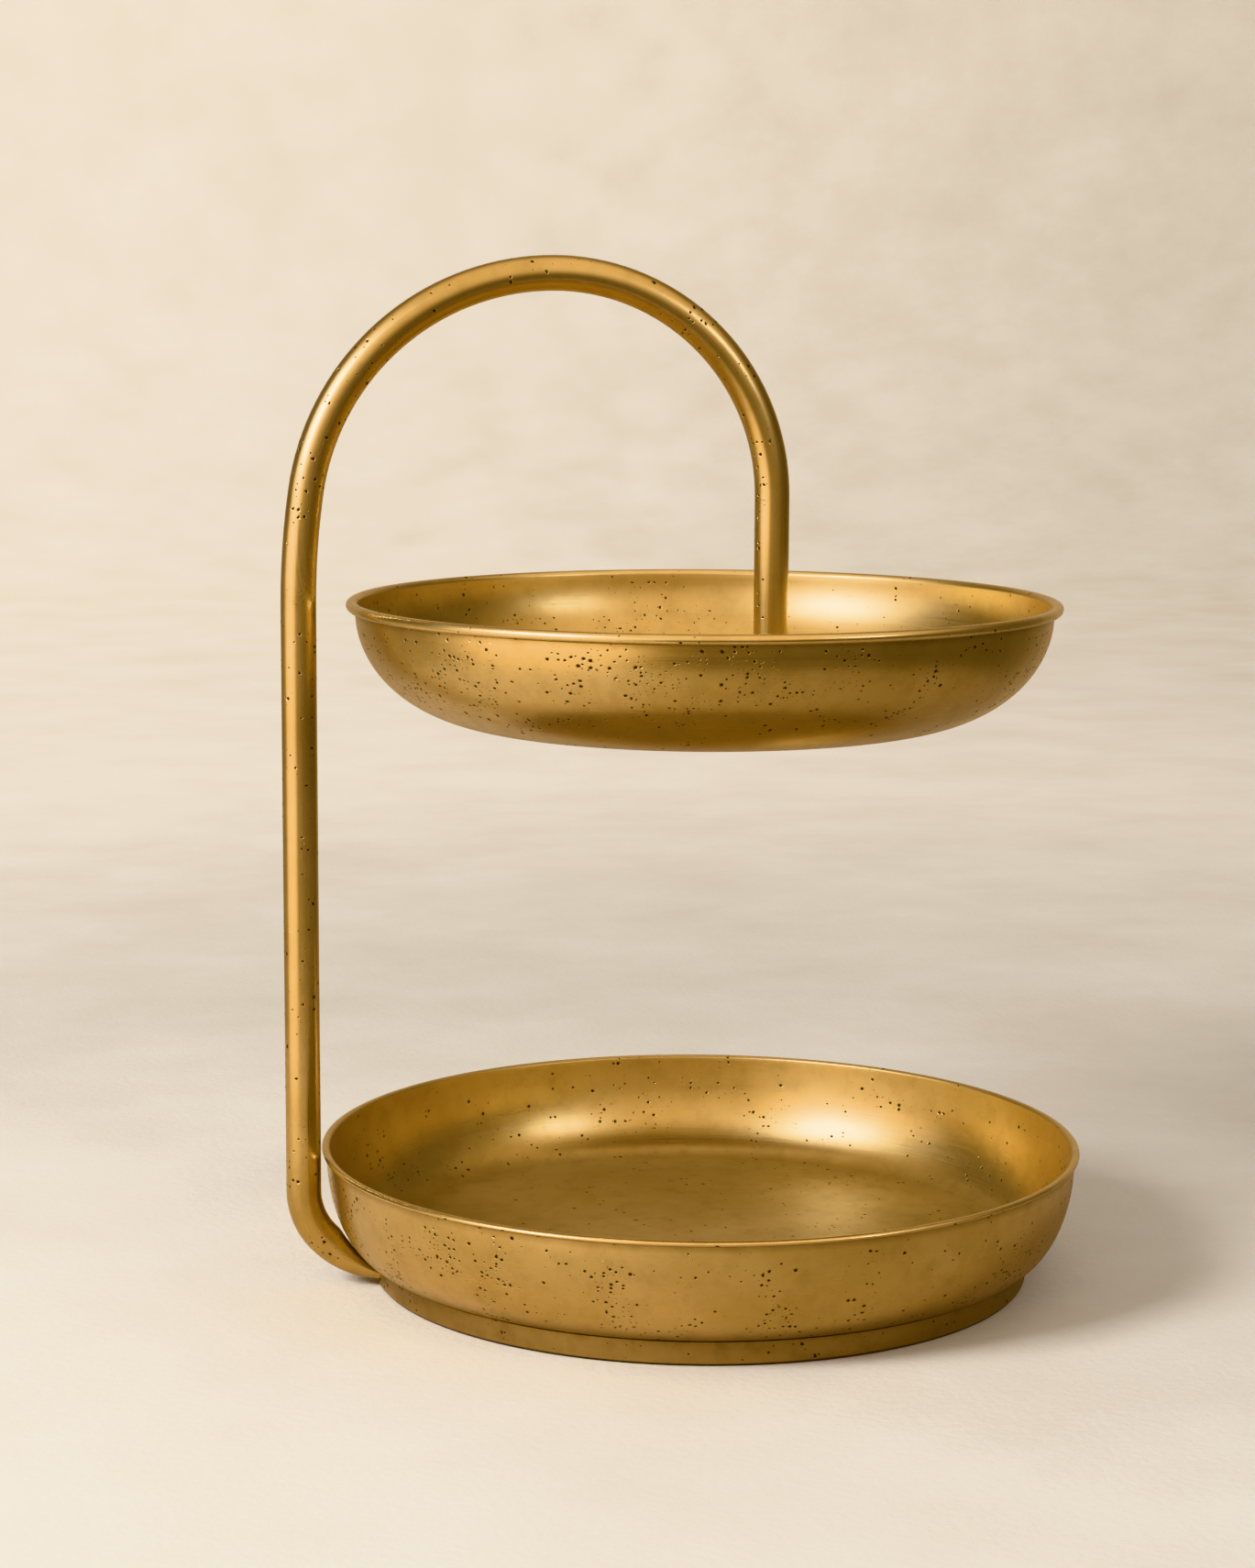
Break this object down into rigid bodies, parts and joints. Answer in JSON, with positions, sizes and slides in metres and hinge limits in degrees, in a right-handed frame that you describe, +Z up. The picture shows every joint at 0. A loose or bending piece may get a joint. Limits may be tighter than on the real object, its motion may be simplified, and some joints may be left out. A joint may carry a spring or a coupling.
{
  "type": "tiered cake stand",
  "caption": "Two-tier stand: a bent tube rises beside a round footed dish, arches over and holds a second round dish above it.",
  "frame": {"origin": "middle of the stand's footprint, on the surface it rests on; the axis of both dishes is 7.55 mm to the +X side of it", "axes": "+Z up; the tube lies in the plane y = 0 with its tall leg on the -X side, and the arch reaches over towards +X"},
  "size_m": [0.3251, 0.31, 0.4129],
  "materials": {
    "spun_brass": "spun brass, satin, aged, with small dark pits",
    "drawn_brass": "drawn brass tube, satin, brushed along its length",
    "foot_brass": "rolled brass strip, satin, darker with age",
    "turned_brass": "turned brass",
    "zinc_steel": "zinc-plated steel",
    "felt": "thin brown felt"
  },
  "bodies": {
    "root": {"frame_tube": "drawn_brass", "lower_dish": "spun_brass", "foot_ring": "foot_brass", "foot_felt_ring": "felt", "weld_stud_1": "turned_brass", "weld_stud_2": "turned_brass", "base_washer_1": "zinc_steel", "base_washer_2": "zinc_steel", "base_nut_1": "zinc_steel", "base_nut_2": "zinc_steel", "upper_dish": "spun_brass", "seat_washer": "turned_brass", "hanging_end_plug": "turned_brass", "load_washer": "turned_brass", "dish_screw": "zinc_steel"}
  },
  "joints": []
}
